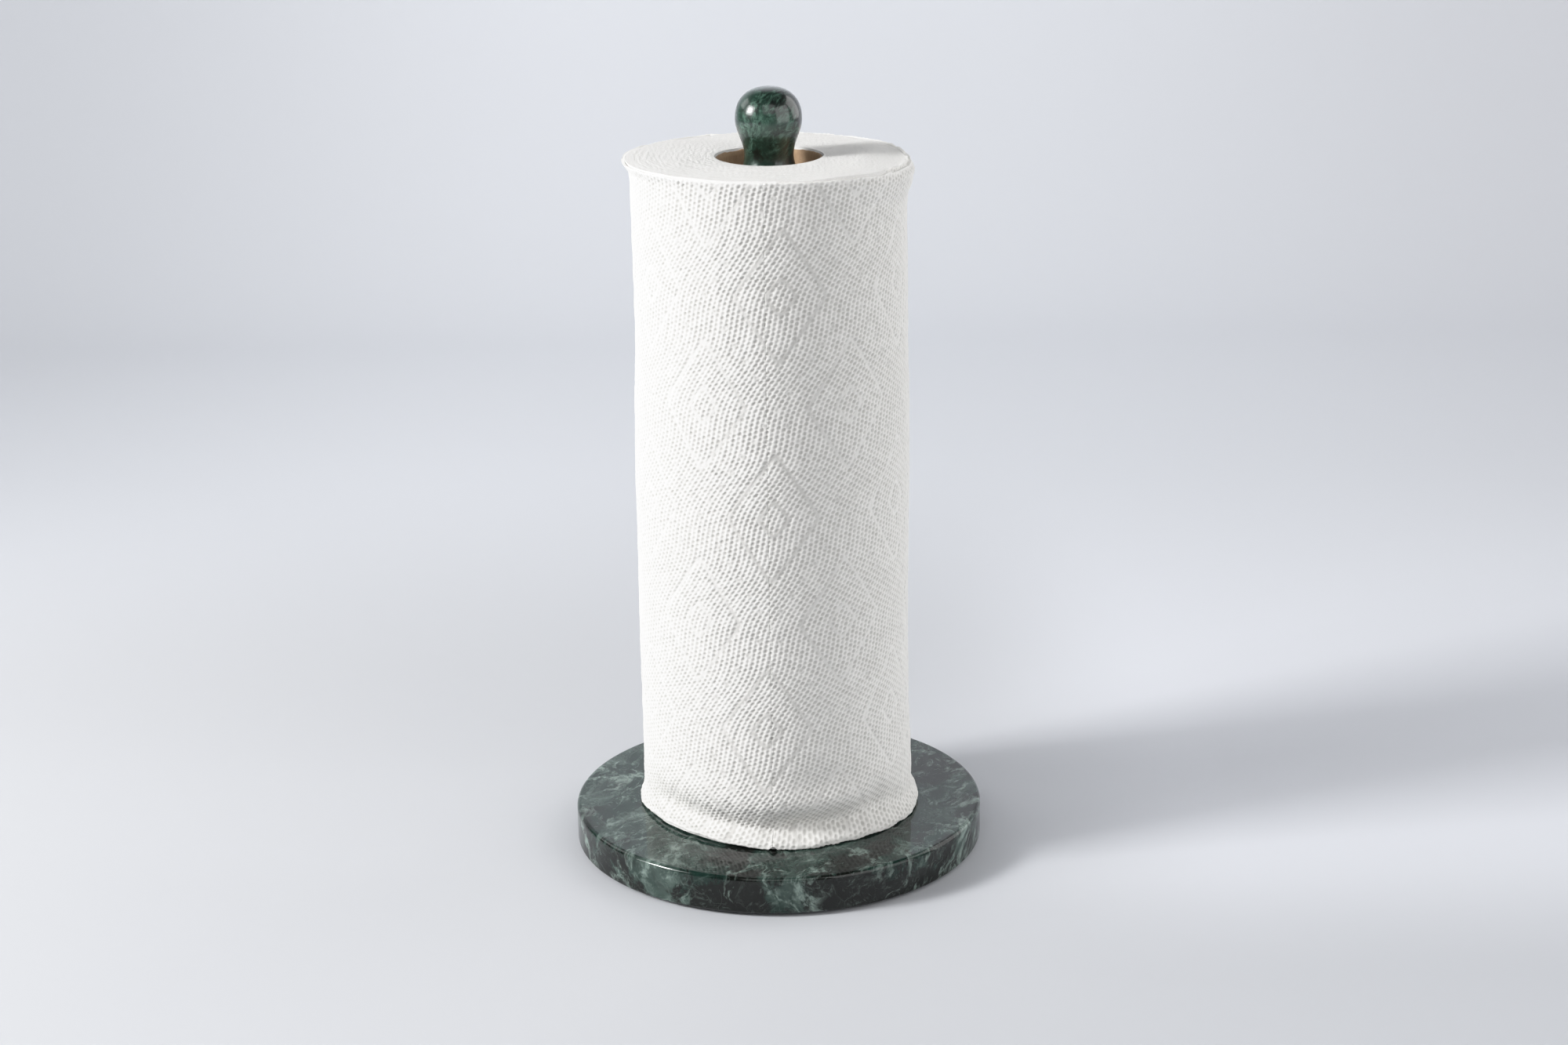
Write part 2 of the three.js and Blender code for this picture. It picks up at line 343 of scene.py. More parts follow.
def marble(name, grain, dark, green, pale, dark_share, painted_light_slope, strokes, glow, polish):
    """Polished serpentine marble: near-black patches in a streaky green ground, pale wisps and cracks.

    grain scales the figure. The stone is dark where the noise of its patches is under dark_share; along
    painted_light_slope that noise rises by its length for each mm, which paints light on the stone: it is
    greener and paler towards its lit side. strokes is the strength of the short pale strokes, glow is the
    shine of the stone under its polished skin, and polish is the skin's roughness.
    """
    s = Shader(name)
    place = s.vector("SCALE", s.millimetres(), 1 / grain)
    flow = s.warped(s.warped(place, 50, 26, 3), 9, 4.5, 5)
    strands = s.stretched(flow, STREAK, 5.0)

    streaks = s.noise(strands, 5.0, 9, 0.66)
    light = tuple(0.72 * a + 0.28 * b for a, b in zip(green, pale))
    ground = s.ramp(streaks, [
        (0.34, tuple(0.35 * c for c in green)), (0.44, tuple(0.75 * c for c in green)), (0.53, green),
        (0.63, light), (0.78, pale),
    ])
    cloud = s.noise(s.stretched(flow, STREAK, 2.4), 22, 8, 0.60)
    ground = s.mix(s.math("MULTIPLY", s.between(cloud, 0.50, 0.68), 0.62), ground, light)

    stone = s.mix(s.noise(place, 1.2, 5, 0.7), tuple(0.3 * c for c in dark), dark)
    patches = s.noise(s.stretched(s.warped(flow, 5, 4, 5), STREAK, 1.8), 19, 9, 0.66)
    drift = s.math("MULTIPLY", s.math("SUBTRACT", s.noise(place, 48, 2), 0.5), 0.35)
    patches = s.math("ADD", patches, drift)
    # Painted light: the patches' noise rises along a given direction, so the stone is greener and paler
    # towards its lit side.
    patches = s.math("ADD", patches, s.vector("DOT_PRODUCT", s.millimetres(), painted_light_slope, output=1))
    stony = s.math("SUBTRACT", 1.0, s.between(patches, dark_share - 0.035, dark_share + 0.045))
    colour = s.mix(s.math("MULTIPLY", stony, 0.90), ground, stone)

    crack = s.add(
        "ShaderNodeTexVoronoi", 0, {"feature": "DISTANCE_TO_EDGE"},
        Vector=s.stretched(s.warped(flow, 9, 2.7, 3), STREAK, 2.0), Scale=1 / 9, Randomness=1.0,
    )
    here = s.between(s.noise(place, 11, 4), 0.44, 0.58)
    hairline = s.math("MULTIPLY", s.math("SUBTRACT", 1.0, s.between(crack, 0.0, 0.02)), here)
    colour = s.mix(s.math("MULTIPLY", hairline, 0.10), colour, pale)

    for along, size, seed in ((STREAK, 1.0, 11), ((-0.5, 0.75, 0.45), 0.8, 29), ((0.9, 0.2, 0.4), 0.9, 47)):
        stroke = s.noise(s.stretched(s.vector("ADD", flow, (seed, 0, 0)), along, 11.0), size, 3, 0.6)
        here = s.between(s.noise(s.vector("ADD", place, (0, 0, seed)), 9, 4), 0.47, 0.60)
        stroke = s.math("MULTIPLY", s.between(stroke, 0.56, 0.66), here)
        colour = s.mix(s.math("MULTIPLY", stroke, strokes), colour, pale)

    for size, width, strength, seed in ((34, 0.042, 0.85, 3), (19, 0.032, 0.60, 60)):
        vein = s.noise(s.stretched(s.vector("ADD", flow, (seed, 0, seed)), STREAK, 2.6), size, 6, 0.58)
        vein = s.math("ABSOLUTE", s.math("SUBTRACT", vein, 0.5))
        here = s.between(s.noise(s.vector("ADD", place, (seed, 5, 0)), size, 3), 0.43, 0.56)
        wisp = s.between(s.noise(strands, 2.6, 8, 0.70), 0.40, 0.60)
        band = s.math("MULTIPLY", s.math("SUBTRACT", 1.0, s.between(vein, 0.0, width)), here)
        colour = s.mix(s.math("MULTIPLY", s.math("MULTIPLY", band, wisp), strength), colour, pale)

    pits = s.bump(s.between(s.noise(place, 0.8, 2, 0.5), 0.70, 0.80), -0.02, 0.3)
    return s.finish(
        Base_Color=colour, Roughness=0.24 + 0.1 * glow, Normal=pits, IOR=1.45, Specular_IOR_Level=glow,
        Coat_Weight=0.85, Coat_Roughness=polish, Coat_IOR=1.48,
    )


def paper():
    """Soft embossed tissue: matt warm white with a fine fibre texture.

    It is darker where the embossing thins it, and has painted shade in its hollows.
    """
    s = Shader("paper")
    place = s.millimetres()
    tone = s.noise(place, 9, 4, 0.6)
    colour = s.mix(tone, (0.925, 0.912, 0.882), (0.955, 0.943, 0.915))
    press_and_painted_shade = s.add("ShaderNodeAttribute", 2, {"attribute_name": PRESS_AND_PAINTED_SHADE})
    # Painted shade: the embossing's hollows are darkened, partly for thinner paper and partly for the shade
    # that falls in them.
    colour = s.mix(press_and_painted_shade, colour, (0.53, 0.521, 0.498))
    fibre = s.noise(s.vector("MULTIPLY", place, (1.0, 1.0, 0.35)), 0.28, 3, 0.65)
    return s.finish(
        Base_Color=colour, Roughness=0.95, Normal=s.bump(fibre, 0.10, 0.5), Specular_IOR_Level=0.25,
        Sheen_Weight=0.12, Sheen_Roughness=0.6,
    )


TURN_SPACING = 0.62                     # of the rings in the wound paper's ends


def paper_edges():
    """The wound paper seen on its edges: thin rings, unevenly bright and frayed."""
    s = Shader("paper_edges")
    place = s.millimetres()
    parts = s.nodes.new("ShaderNodeSeparateXYZ")
    s.put(parts, "Vector", place)
    x, y = parts.outputs["X"], parts.outputs["Y"]
    radius = s.math("SQRT", s.math("ADD", s.math("MULTIPLY", x, x), s.math("MULTIPLY", y, y)))
    wander = s.math("MULTIPLY", s.noise(place, 7, 3), 1.6)
    turns = s.math("MULTIPLY", s.math("ADD", radius, wander), 2 * math.pi / TURN_SPACING)
    ring = s.math("MULTIPLY_ADD", s.math("SINE", turns), 0.5, 0.5)
    fray = s.noise(place, 0.5, 4, 0.7)
    height = s.math("ADD", s.math("MULTIPLY", ring, 0.2), s.math("MULTIPLY", fray, 1.1))
    tone = s.between(height, 0.15, 0.95)
    colour = s.mix(tone, (0.80, 0.787, 0.760), (0.915, 0.905, 0.885))
    return s.finish(
        Base_Color=colour, Roughness=0.95, Normal=s.bump(height, 0.24, 0.8),
        Specular_IOR_Level=0.2,
    )


def cardboard():
    """Brown grey-board with short fibres and flecks."""
    s = Shader("core_board")
    place = s.millimetres()
    fibre = s.noise(s.vector("MULTIPLY", place, (1.0, 1.0, 0.25)), 0.8, 5, 0.65)
    blotch = s.noise(place, 7, 3)
    colour = s.mix(fibre, (0.27, 0.165, 0.092), (0.60, 0.42, 0.27))
    colour = s.mix(s.math("MULTIPLY", blotch, 0.5), colour, (0.45, 0.31, 0.19))
    fleck = s.between(s.noise(place, 0.6, 2), 0.68, 0.74)
    colour = s.mix(s.math("MULTIPLY", fleck, 0.5), colour, (0.10, 0.055, 0.03))
    return s.finish(Base_Color=colour, Roughness=0.9, Normal=s.bump(fibre, 0.12, 0.5))


def zinc():
    """Zinc-plated steel, a little mottled."""
    s = Shader("zinc_plate")
    place = s.millimetres()
    spangle = s.noise(place, 1.1, 4, 0.6)
    colour = s.mix(spangle, (0.50, 0.51, 0.52), (0.68, 0.69, 0.71))
    rough = s.math("MULTIPLY_ADD", spangle, 0.18, 0.24)
    return s.finish(Base_Color=colour, Roughness=rough, Metallic=1.0, Normal=s.bump(spangle, 0.02, 0.4))


def fibre_red():
    """Vulcanised fibre."""
    s = Shader("fibre_red")
    mottle = s.noise(s.millimetres(), 0.7, 4, 0.6)
    colour = s.mix(mottle, (0.22, 0.045, 0.028), (0.34, 0.085, 0.055))
    return s.finish(Base_Color=colour, Roughness=0.75, Normal=s.bump(mottle, 0.05, 0.4))


def rubber():
    """Dark foam rubber with fine pores."""
    s = Shader("rubber_pad")
    pores = s.noise(s.millimetres(), 0.35, 3, 0.6)
    colour = s.mix(pores, (0.012, 0.012, 0.013), (0.035, 0.035, 0.037))
    return s.finish(Base_Color=colour, Roughness=0.85, Normal=s.bump(pores, 0.08, 0.6))


# ---------------------------------------------------------------- the holder


def base(material):
    """The disc, rounded above and below, with the stud's hole and the recess for its nut."""
    low, top, r = BASE_LOW.z, BASE_HIGH.z, BASE_RADIUS
    roof = low + RECESS_DEPTH
    profile = [
        (RECESS_RADIUS + RECESS_CHAMFER, low),
        *arc(r - BASE_ROUND_BOTTOM, low + BASE_ROUND_BOTTOM, BASE_ROUND_BOTTOM, -90, 0, 8),
        *arc(r - BASE_ROUND_TOP, top - BASE_ROUND_TOP, BASE_ROUND_TOP, 0, 90, 12),
        (STUD_HOLE_RADIUS + HOLE_CHAMFER, top),
        (STUD_HOLE_RADIUS, top - HOLE_CHAMFER),
        (STUD_HOLE_RADIUS, roof),
        (RECESS_RADIUS, roof),
        (RECESS_RADIUS, low + RECESS_CHAMFER),
    ]
    piece = turned("marble_base", profile, material, 384)
    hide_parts("base")
    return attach(piece, "holder")


def post(material):
    """Foot, shaft, waist and ball knob, turned from one piece and drilled from below."""
    bottom, top = POST_LOW.z, POST_HIGH.z
    widest = top - KNOB_CROWN
    neck = widest - NECK_DROP
    shaft_top = neck - SHAFT_DROP
    profile = [
        (STUD_HOLE_RADIUS, bottom + HOLE_CHAMFER),
        (STUD_HOLE_RADIUS + HOLE_CHAMFER, bottom),
        *arc(FOOT_RADIUS - FOOT_ROUND, bottom + FOOT_ROUND, FOOT_ROUND, -90, 0, 6),
        (FOOT_RADIUS, bottom + FOOT_HEIGHT),
        *arc(SHAFT_RADIUS + FOOT_HOLLOW, bottom + FOOT_HOLLOW_LEVEL, FOOT_HOLLOW, 225, 180, 8),
        (SHAFT_RADIUS, shaft_top),
    ]
    for t in np.linspace(0, 1, 13)[1:]:
        swell = (1 - math.cos(math.pi * t)) / 2
        profile.append((SHAFT_RADIUS + (NECK_RADIUS - SHAFT_RADIUS) * swell, shaft_top + SHAFT_DROP * t))
    for t in np.linspace(0, 1, 13)[1:]:
        swell = (1 - math.cos(math.pi * t)) / 2
        profile.append((NECK_RADIUS + (KNOB_RADIUS - NECK_RADIUS) * swell, neck + NECK_DROP * t))
    for angle in np.linspace(0, math.pi / 2, 25)[1:]:
        level = math.sin(angle)
        radius = (1 - level ** KNOB_FULLNESS) ** (1 / KNOB_FULLNESS)
        profile.append((KNOB_RADIUS * radius, widest + KNOB_CROWN * level))
    drilled = bottom + STUD_HOLE_DEPTH
    profile += [(0, drilled), (STUD_HOLE_RADIUS, drilled - STUD_HOLE_POINT)]
    piece = turned("marble_post", profile, material, 192)
    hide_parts("post")
    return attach(piece, "holder")


def finish_cad_node(node, material):
    """A CAD node that is shown as it is, with its own material."""
    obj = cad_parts[node]
    for slot in obj.material_slots:
        slot.link = "OBJECT"
        slot.material = material


# ---------------------------------------------------------------- the roll's shape

# Outside radius up the roll on four sides. The upper edge of the outer turn is loose: it curls out on the
# left, and bulges under its edge on the right.
FRONT = [(0, 57.3), (34, 57.6), (70, 56.8), (150, 56.9), (268, 56.6), (279.4, 56.9)]
RIGHT = [(0, 57.6), (27, 57.3), (45, 56.5), (125, 56.6), (150, 57.0), (178, 57.0), (205, 56.3),
         (260, 56.1), (266, 56.5), (272, 58.4), (276, 59.2), (279.4, 57.6)]
BACK = [(0, 57.3), (24, 57.2), (100, 57.0), (270, 56.7), (279.4, 57.1)]
LEFT = [(0, 57.8), (20, 58.0), (90, 58.1), (140, 58.0), (176, 57.3), (205, 56.5), (270, 56.5),
        (275, 57.0), (279.4, 59.6)]
# Outside radius of the lower edge, which the roll's weight spreads most at the front and right, how far
# that edge is off the base, and how far the outer turn's upper edge is below the windings' top.
HEM = [(-180, 59.4), (-90, 59.2), (-60, 57.9), (-35, 57.9), (-20, 58.8), (-8, 60.4), (2, 61.5),
       (12, 62.0), (24, 60.7), (38, 60.9), (56, 61.8), (80, 60.6), (110, 60.0), (180, 59.4)]
HEM_LIFT = [(-180, 0), (-88, 0.2), (-55, 1.7), (-38, 1.5), (-18, 0.6), (0, 0), (180, 0)]
HEM_HEIGHT = (1.5, 8.0)                 # the spread fades out between these heights
EDGE_DROP = [(-180, 0.0), (-110, 0.3), (-80, 1.0), (0, 1.3), (30, 1.9), (80, 2.8), (125, 0.9),
             (180, 0.0)]
# A crease runs round the front a little above the lower edge: how deep it is, and how high up its deepest
# point. It rises slowly to a swelling above it, and steeply to the edge below it.
PINCH = [(-180, 0), (-80, 0), (-50, 1.8), (-10, 2.8), (8, 5.2), (22, 4.8), (40, 2.6), (66, 0), (180, 0)]
PINCH_LEVEL = [(-180, 9), (-60, 9.5), (-30, 8), (10, 6.5), (26, 7.5), (50, 11), (180, 9)]
PINCH_ABOVE = 6.5                       # how far the crease reaches above that point, and below it
PINCH_BELOW = 3.2
SWELLING = 0.45                         # of the crease's depth
SWELLING_ABOVE = 13.0                   # from the crease up to the swelling
SWELLING_REACH = 7.0
CREASED_HEIGHT = 40.0                   # below this the windings follow the crease
FRONT_SEAM_U = FREE_EDGE_U - SHEET_LENGTH       # the perforation at the front
HOLLOW_PLACE = (17.0, 26.0)             # (u, h) of a shallow hollow beside that perforation
HOLLOW_REACH = (12.0, 7.0)
HOLLOW_DEPTH = 1.5
TUCKED_TURNS = (0.96, 1.03)             # the web slips under the free edge between these turns
LOOSE_ANGLE = 82.0                      # the side where the outer turns have sprung away, and how far round
LOOSE_SPREAD = 38.0
LOOSE_HEIGHT = (215, 272)               # they are loosest above these heights
RING_SPACING = 0.9                      # of the rings on the windings' ends that the mesh itself has
UNEVEN_RADIUS = 57.0                    # of the circle on which the roll's random unevenness is laid out


def by_angle(theta, knots):
    """The value at an angle, from knots in degrees from the front."""
    return eased((np.degrees(theta) + 180) % 360 - 180, knots)


def surface_radius(theta, h):
    """Outside radius of the roll."""
    total = 0
    for side, knots in enumerate((FRONT, RIGHT, BACK, LEFT)):
        facing = np.maximum(np.cos(theta - side * math.pi / 2), 0) ** 2
        total = total + facing * eased(h, knots)
    spread = 1 - step_between(h, *HEM_HEIGHT) - 0.12 * (1 - step_between(h, 0, 2))
    total = total + (by_angle(theta, HEM) - FRONT[0][1]) * spread
    total = total + dents(theta, h)

    hem = 1 - step_between(h, 6, 30)
    x, y = np.sin(theta) * UNEVEN_RADIUS, np.cos(theta) * UNEVEN_RADIUS
    total = total + 0.30 * hem * ripples(x, y + h * 0.6, 24, 60, 5, 4)
    total = total + 0.12 * hem * ripples(x, y + h, 4, 9, 14, 13)
    return total + 0.14 * ripples(x, y + h, 30, 90, 7, 5)


def dents(theta, h):
    """What a ridge at the front perforation and the swelling add to the radius, less hollow and crease."""
    around = (theta * WEB_RADIUS + TURN_LENGTH / 2) % TURN_LENGTH - TURN_LENGTH / 2
    from_seam = np.hypot(around - FRONT_SEAM_U, 4.0)
    ridge = (0.40 + 0.40 * (1 - h / ROLL_HEIGHT) ** 2) * np.exp(-from_seam / 10)
    aside = (around - HOLLOW_PLACE[0]) / HOLLOW_REACH[0]
    above = (h - HOLLOW_PLACE[1]) / HOLLOW_REACH[1]
    hollow = HOLLOW_DEPTH * np.exp(-aside ** 2 - above ** 2)
    pinch, level = by_angle(theta, PINCH), by_angle(theta, PINCH_LEVEL)
    crease = pinch * np.exp(-((h - level) / np.where(h > level, PINCH_ABOVE, PINCH_BELOW)) ** 2)
    swelling = SWELLING * pinch * np.exp(-((h - level - SWELLING_ABOVE) / SWELLING_REACH) ** 2)
    return ridge - hollow - crease + swelling


def looseness(theta, h):
    """1 where the outer turns have sprung away from the rest, on the right at the top."""
    off = (np.degrees(theta) - LOOSE_ANGLE + 180) % 360 - 180
    return np.exp(-(off / LOOSE_SPREAD) ** 2) * (0.15 + 0.85 * step_between(h, *LOOSE_HEIGHT))


def tucked(u):
    """1 where the web lies under its own outermost turn, 0 where it is outside."""
    return step_between((FREE_EDGE_U - u) / TURN_LENGTH, *TUCKED_TURNS)


def web_radius(u, h):
    """Outside radius of the paper web at u, which is measured along it from the front to the right."""
    theta = u / WEB_RADIUS
    sunk = TURN_GAP * step_between((FREE_EDGE_U - u) / TURN_LENGTH, 0.70, 1.0)
    return surface_radius(theta, h) - sunk - 0.35 * tucked(u) * looseness(theta, h)


def windings_radius(theta, h):
    """Just inside the sheets, of which there are two layers on the right and one elsewhere.

    Near the crease it is the least radius for a little way up and down, so that the windings' coarser
    wall stays inside the sheets' folds.
    """
    last = FREE_EDGE_U - SHEET_COUNT * SHEET_LENGTH
    u = last + (theta * WEB_RADIUS - last) % TURN_LENGTH
    inside = web_radius(u, h)
    for step in (-2.0, -1.0, 1.0):
        nearby = web_radius(u, np.maximum(h + step, 0))
        inside = np.where(h < CREASED_HEIGHT, np.minimum(inside, nearby), inside)
    return inside - SHEET_THICKNESS - CLEARANCE - 0.4 * looseness(theta, h)


# ---------------------------------------------------------------- the embossing

# Outlined diamonds, each with a small one inside, stand in rows and columns. Lines of large dots run
# diagonally between them, and small dimples in wavy columns fill the rest.
DIAMOND_PITCH = (62.0, 91.2)            # across and up; every other column is half a pitch up
DIAMOND_CENTRE = (3.7, 234.2)           # (u, h) of one of them
DIAMOND_DRIFT = 0.045                   # sideways for each mm up
DIAMOND_HALF = (19.0, 27.6)             # half its width and height
SMALL_HALF = (6.7, 8.2)
LINE_DEPTH = 0.60
LINE_REACH = 0.8
DOTS_PER_SIDE = 7
DOT_DEPTH = 0.65
DOT_REACH = 1.0
DIMPLE_PITCH = (2.15, 1.95)             # across and up
DIMPLE_REACH = 0.86
DIMPLE_DEPTH = 0.72
FURROW_REACH = 0.62
FURROW_DEPTH = 0.15                     # the dimples lie in shallow furrows that run up the sheet
COLUMN_LEAN = 0.42                      # of a column of dimples, sideways for each mm up
COLUMN_WAVE = 1.8
COLUMN_WAVE_LEVEL = 223.7               # where the wave crosses its middle
FRONT_LINE_SHADE_REACH = 24.0                       # the diamond lines get more painted shade in the front column of diamonds
DEEPEST = 0.88                          # so that no dimple breaks through the sheet
PRESS_AND_PAINTED_SHADE = "press_and_painted_shade"                     # the attribute for how dark each point is painted, from 0 to 1: thinner paper, and painted shade in hollows


def nearest(x, period):
    """x less the nearest whole number of periods."""
    return x - period * np.round(x / period)


def lean(h):
    """How far the columns of dimples have moved sideways at h: they wave, and lean to the right."""
    wave = np.sin(2 * math.pi * (h - COLUMN_WAVE_LEVEL) / (DIAMOND_PITCH[1] / 2))
    return COLUMN_LEAN * h - COLUMN_WAVE * wave


def diamond_distance(du, dh, half):
    """Distance outwards from the outline of a diamond of that half size, whose corners are rounded."""
    corner = 0.8
    reach = (np.sqrt(du * du + corner) / half[0] + np.sqrt(dh * dh + corner) / half[1]) - 1
    return reach / math.hypot(1 / half[0], 1 / half[1])


def dot_distance(du, dh):
    """Distance from the nearest of the large dots, which run midway between the diamonds."""
    p, q = du / (DIAMOND_PITCH[0] / 2), dh / (DIAMOND_PITCH[1] / 2)
    s, t = (p + q) / 2, (p - q) / 2
    best = np.full(np.shape(du), 1e9)
    for along, across in ((s, t), (t, s)):
        off = nearest(across - 0.5, 1)
        run = nearest(along * DOTS_PER_SIDE - 0.5, 1) / DOTS_PER_SIDE
        side = 1 if along is s else -1
        x = (off + run) * DIAMOND_PITCH[0] / 2
        y = (run - off) * side * DIAMOND_PITCH[1] / 2
        best = np.minimum(best, np.hypot(x, y))
    return best


def line_distance(u0, h0):
    """Distance from the nearest outline of a diamond, large or small."""
    best = np.full(np.shape(u0), 1e9)
    for shift in (0, 0.5):
        du = nearest(u0 - shift * DIAMOND_PITCH[0], DIAMOND_PITCH[0])
        dh = nearest(h0 - shift * DIAMOND_PITCH[1], DIAMOND_PITCH[1])
        for half in (DIAMOND_HALF, SMALL_HALF):
            best = np.minimum(best, np.abs(diamond_distance(du, dh, half)))
    return best


def dimple_field(u, h):
    """How far into a dimple each point is, 1 at about its middle, and the same for the furrows."""
    column = (u - lean(h)) / DIMPLE_PITCH[0]
    dimples, furrows = np.zeros(np.shape(u)), np.zeros(np.shape(u))
    for k in (0, 1):
        nearest_column = np.floor(column) + k
        stagger = 0.5 * np.mod(nearest_column, 2)
        row = h / DIMPLE_PITCH[1] - stagger
        across = (column - nearest_column) * DIMPLE_PITCH[0]
        along = (row - np.round(row)) * DIMPLE_PITCH[1]
        uneven = 0.75 + 0.5 * np.mod(np.sin(nearest_column * 12.9 + np.round(row) * 78.2) * 43758.5, 1)
        dimples += uneven * np.exp(-(np.hypot(across, along) / DIMPLE_REACH) ** 2.6)
        furrows += np.exp(-(across / FURROW_REACH) ** 2)
    return dimples, furrows


def emboss(u, h):
    """Height of the embossed surface above the plain sheet, mostly negative, and how dark it is painted.

    The darkening is partly for paper thinned by the embossing and partly painted shade in its hollows.
    """
    u0 = u - DIAMOND_CENTRE[0] - DIAMOND_DRIFT * (h - DIAMOND_CENTRE[1])
    h0 = h - DIAMOND_CENTRE[1]
    line, dot = line_distance(u0, h0), dot_distance(u0, h0)
    dimples, furrows = dimple_field(u, h)
    clear = step_between(line, 0.2, 0.9) * step_between(dot, 0.8, 1.5)
    within = step_between(h, -1, 3) * step_between(ROLL_HEIGHT - h, -1, 2)

    height = -(DIMPLE_DEPTH * dimples + FURROW_DEPTH * furrows) * clear
    height -= LINE_DEPTH * (0.85 + 0.25 * ripples(u, h, 40, 110, 6, 7)) * np.exp(-(line / LINE_REACH) ** 2)
    height -= DOT_DEPTH * np.exp(-(dot / DOT_REACH) ** 2)
    height = np.maximum(height * within + 0.05 * ripples(u, h, 5, 16, 9, 6), -DEEPEST)

    # Painted shade: the diamond lines are darker still in the front column of diamonds.
    front_line_shade = np.exp(-(u0 / FRONT_LINE_SHADE_REACH) ** 2)
    # Painted shade on the dimples, diamond lines and large dots, partly for paper thinned there.
    press_and_painted_shade = (1.1 * dimples + 0.12 * furrows) * clear
    press_and_painted_shade += (0.38 + 0.55 * front_line_shade) * np.exp(-(line / 0.75) ** 2)
    press_and_painted_shade += np.exp(-(dot / DOT_REACH) ** 2)
    return height, np.clip(press_and_painted_shade, 0, 1) * within


# ---------------------------------------------------------------- the roll's pieces


def on_roll(theta, h, radius):
    """Points in space, from arrays that are first spread to one shape."""
    theta, h, radius = np.broadcast_arrays(theta, h, radius)
    return np.stack([radius * np.sin(theta), -radius * np.cos(theta), ROLL_BOTTOM + h], -1)


def ring_angles(segments):
    """Angles of that many points round a ring, as a row."""
    return np.linspace(0, 2 * math.pi, segments, endpoint=False)[None, :]


def tube_object(name, rings, material):
    """A tube's skin, from arrays of rings of points in order. The last ring joins the first."""
    points = np.concatenate(rings)
    quads = grid_quads(len(points), points.shape[1], closed=True)
    return mesh_object(name, points.reshape(-1, 3), [quads], material)


def zipped(a, ta, b, tb, flip):
    """Triangles that fill the strip between two rows of points, given their indices and places."""
    faces, i, j = [], 0, 0
    while i < len(a) - 1 or j < len(b) - 1:
        take_a = j == len(b) - 1 or (i < len(a) - 1 and ta[i + 1] <= tb[j + 1])
        if take_a:
            faces.append((a[i], a[i + 1], b[j]))
            i += 1
        else:
            faces.append((a[i], b[j + 1], b[j]))
            j += 1
    faces = np.array(faces, np.int32)
    return faces[:, ::-1] if flip else faces


def sheet_level(u, h):
    """Height of a point of a sheet: its edges are frayed, lifted or lowered, and nicked at perforations."""
    theta = u / WEB_RADIUS
    at_bottom, at_top = 1 - step_between(h, 0, 5), step_between(h, 270, ROLL_HEIGHT)
    from_seam = np.abs(nearest(u - FREE_EDGE_U, SHEET_LENGTH))
    notch = 1.6 * np.exp(-(from_seam / 1.1) ** 2) * (1 - step_between(h, 0, 4))
    drop = by_angle(theta, EDGE_DROP) * (1 - 0.45 * tucked(u)) * h / ROLL_HEIGHT
    lift = by_angle(theta, HEM_LIFT) * (1 - step_between(h, 0, 24))
    frayed = (0.18 * at_top + 0.18 * at_bottom) * ripples(u, u * 0, 1.6, 8, 9, 11) + 0.3 * at_bottom
    return h - drop + lift + frayed + notch


def embossed_places(near, far):
    """Places (u, h) of the points of a sheet's outer side, four to a dimple each way.

    Between the sheet's side edges the columns of points follow the wavy columns of dimples.
    """
    columns = int((far - near) / (DIMPLE_PITCH[0] / 4))
    rows = int(ROLL_HEIGHT / (DIMPLE_PITCH[1] / 4)) + 1
    h = np.linspace(0, ROLL_HEIGHT, rows)[:, None]
    step = (far - near) / columns
    column = np.arange(columns + 1)[None, :]
    between = (column > 0) & (column < columns)
    across = column + np.where(between, np.mod(lean(h) / step, 1.0) - 0.5, 0.0)
    u = near + across * step
    return u, np.broadcast_to(h, u.shape)


def plain_places(near, far):
    """Places (u, h) of the points of a sheet's inner side, close together up to above the crease."""
    levels = np.concatenate([np.arange(0, 32, 0.8), np.linspace(32, ROLL_HEIGHT, 54)])
    return np.meshgrid(np.linspace(near, far, int((far - near) / 3) + 1), levels)


def rim_triangles(outer, inner, levels):
    """Triangles that join a sheet's two sides round its rim, given the indices of each side's points."""
    outer_up, outer_along = (np.linspace(0, 1, count) for count in outer.shape)
    inner_up, inner_along = levels / ROLL_HEIGHT, np.linspace(0, 1, inner.shape[1])
    return np.concatenate([
        zipped(outer[0], outer_along, inner[0], inner_along, True),
        zipped(outer[-1], outer_along, inner[-1], inner_along, False),
        zipped(outer[:, 0], outer_up, inner[:, 0], inner_up, False),
        zipped(outer[:, -1], outer_up, inner[:, -1], inner_up, True),
    ])


